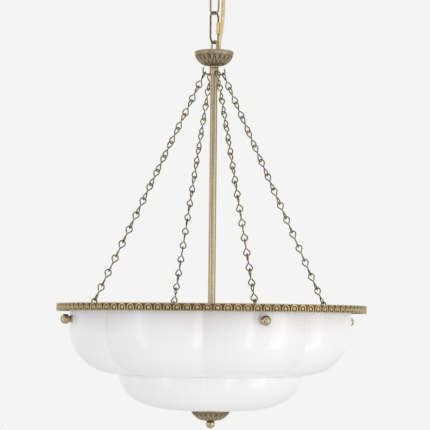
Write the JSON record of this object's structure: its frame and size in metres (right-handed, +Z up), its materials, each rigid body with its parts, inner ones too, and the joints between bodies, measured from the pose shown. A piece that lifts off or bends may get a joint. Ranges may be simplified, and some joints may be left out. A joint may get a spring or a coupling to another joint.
{
  "type": "bowl chandelier",
  "caption": "Bowl chandelier: a lobed, two-tier opal glass bowl in a cast brass rim, hung by jack chains and a centre rod from a link chain and ceiling canopy.",
  "frame": {"origin": "on the hanging axis at the ceiling, in the middle of the two ceiling screw slots", "axes": "+Z up to the ceiling, along the hanging axis; +X along the line of the two ceiling slots"},
  "size_m": [0.501, 0.501, 0.793],
  "materials": {
    "antique_brass": "aged, with worn highlights",
    "polished_brass": "polished",
    "plated_steel": "plated",
    "opal_glass": "glossy opal",
    "bulb_glass": "frosted",
    "holder_plastic": "moulded",
    "terminal_plastic": "moulded",
    "cord_sheath": "smooth sheath",
    "felt": "pressed felt",
    "gasket_rubber": "matt"
  },
  "bodies": {
    "ceiling": {"ceiling_bracket": "plated_steel", "canopy": "antique_brass", "canopy_nipple": "plated_steel", "canopy_nuts": "plated_steel", "terminal_block": "terminal_plastic", "canopy_loop": "antique_brass", "canopy_cord_bush": "cord_sheath", "hanging_cord": "cord_sheath"},
    "upper_link": {"chain_link_upper": "antique_brass"},
    "lower_link": {"chain_link_lower": "antique_brass"},
    "link_sleeve": {"link_sleeve": "polished_brass"},
    "pendant": {"cup_loop": "antique_brass", "cup_cord_bush": "cord_sheath", "top_cup": "antique_brass", "hook_collar": "polished_brass", "chain_hooks": "antique_brass", "rod": "polished_brass", "rod_cable": "cord_sheath", "rim_band": "antique_brass", "rim_plate": "antique_brass", "eye_bolts": "antique_brass", "eye_bolt_nuts": "plated_steel", "jack_chain_1": "antique_brass", "jack_chain_2": "antique_brass", "jack_chain_3": "antique_brass", "jack_chain_4": "antique_brass", "glass_bowl": "opal_glass", "glass_bracket_1": "plated_steel", "glass_bracket_2": "plated_steel", "glass_bracket_3": "plated_steel", "glass_bracket_4": "plated_steel", "bracket_rivets": "plated_steel", "inner_felt_washers": "felt", "outer_felt_washers": "felt", "bottom_gasket": "gasket_rubber", "bottom_washer": "plated_steel", "bottom_cup": "antique_brass", "lamp_hub": "antique_brass", "lamp_hub_lid": "antique_brass", "lampholder_1": "holder_plastic", "lampholder_2": "holder_plastic", "lampholder_3": "holder_plastic", "lampholder_4": "holder_plastic", "bulb_caps": "plated_steel", "bulb_globes": "bulb_glass"},
    "knob_stud_1": {"knob_stud_1": "plated_steel"},
    "knob_1": {"knob_ball_1": "polished_brass"},
    "knob_stud_2": {"knob_stud_2": "plated_steel"},
    "knob_2": {"knob_ball_2": "polished_brass"},
    "knob_stud_3": {"knob_stud_3": "plated_steel"},
    "knob_3": {"knob_ball_3": "polished_brass"},
    "knob_stud_4": {"knob_stud_4": "plated_steel"},
    "knob_4": {"knob_ball_4": "polished_brass"},
    "finial_stud": {"finial_stud": "plated_steel"},
    "finial": {"finial_ball": "polished_brass"}
  },
  "joints": [
    {"name": "upper_link_swing", "type": "hinge", "parent": "ceiling", "child": "upper_link", "pos_m": [0, 0, -0.0736], "axis": [0.891, 0.454, 0], "range_deg": [-20, 20], "deforming": ["hanging_cord"]},
    {"name": "lower_link_swing", "type": "hinge", "parent": "upper_link", "child": "lower_link", "pos_m": [0, 0, -0.12115], "axis": [-0.454, 0.891, 0], "range_deg": [-20, 20], "deforming": ["hanging_cord"]},
    {"name": "pendant_swing", "type": "hinge", "parent": "lower_link", "child": "pendant", "pos_m": [0, 0, -0.16885], "axis": [0.891, 0.454, 0], "range_deg": [-20, 20], "deforming": ["hanging_cord"]},
    {"name": "link_sleeve_travel", "type": "slide", "parent": "lower_link", "child": "link_sleeve", "axis": [0, 0, 1], "range_m": [0, 0.0066]},
    {"name": "knob_1_travel", "type": "slide", "parent": "pendant", "child": "knob_stud_1", "axis": [1, 0, 0], "range_m": [0, 0.0049]},
    {"name": "knob_1_turn", "type": "hinge", "parent": "knob_stud_1", "child": "knob_1", "pos_m": [0.2425, 0, -0.6198], "axis": [1, 0, 0], "range_deg": [0, 2520]},
    {"name": "knob_2_travel", "type": "slide", "parent": "pendant", "child": "knob_stud_2", "axis": [0, 1, 0], "range_m": [0, 0.0049]},
    {"name": "knob_2_turn", "type": "hinge", "parent": "knob_stud_2", "child": "knob_2", "pos_m": [0, 0.2425, -0.6198], "axis": [0, 1, 0], "range_deg": [0, 2520]},
    {"name": "knob_3_travel", "type": "slide", "parent": "pendant", "child": "knob_stud_3", "axis": [-1, 0, 0], "range_m": [0, 0.0049]},
    {"name": "knob_3_turn", "type": "hinge", "parent": "knob_stud_3", "child": "knob_3", "pos_m": [-0.2425, 0, -0.6198], "axis": [-1, 0, 0], "range_deg": [0, 2520]},
    {"name": "knob_4_travel", "type": "slide", "parent": "pendant", "child": "knob_stud_4", "axis": [0, -1, 0], "range_m": [0, 0.0049]},
    {"name": "knob_4_turn", "type": "hinge", "parent": "knob_stud_4", "child": "knob_4", "pos_m": [0, -0.2425, -0.6198], "axis": [0, -1, 0], "range_deg": [0, 2520]},
    {"name": "finial_travel", "type": "slide", "parent": "pendant", "child": "finial_stud", "axis": [0, 0, -1], "range_m": [0, 0.008]},
    {"name": "finial_turn", "type": "hinge", "parent": "finial_stud", "child": "finial", "pos_m": [0, 0, -0.7856], "axis": [0, 0, -1], "range_deg": [0, 2880]}
  ],
  "couplings": [
    {"joint": "knob_1_turn", "follows": "knob_1_travel", "rad_per_m": 8976},
    {"joint": "knob_2_turn", "follows": "knob_2_travel", "rad_per_m": 8976},
    {"joint": "knob_3_turn", "follows": "knob_3_travel", "rad_per_m": 8976},
    {"joint": "knob_4_turn", "follows": "knob_4_travel", "rad_per_m": 8976},
    {"joint": "finial_turn", "follows": "finial_travel", "rad_per_m": 6283.2}
  ]
}
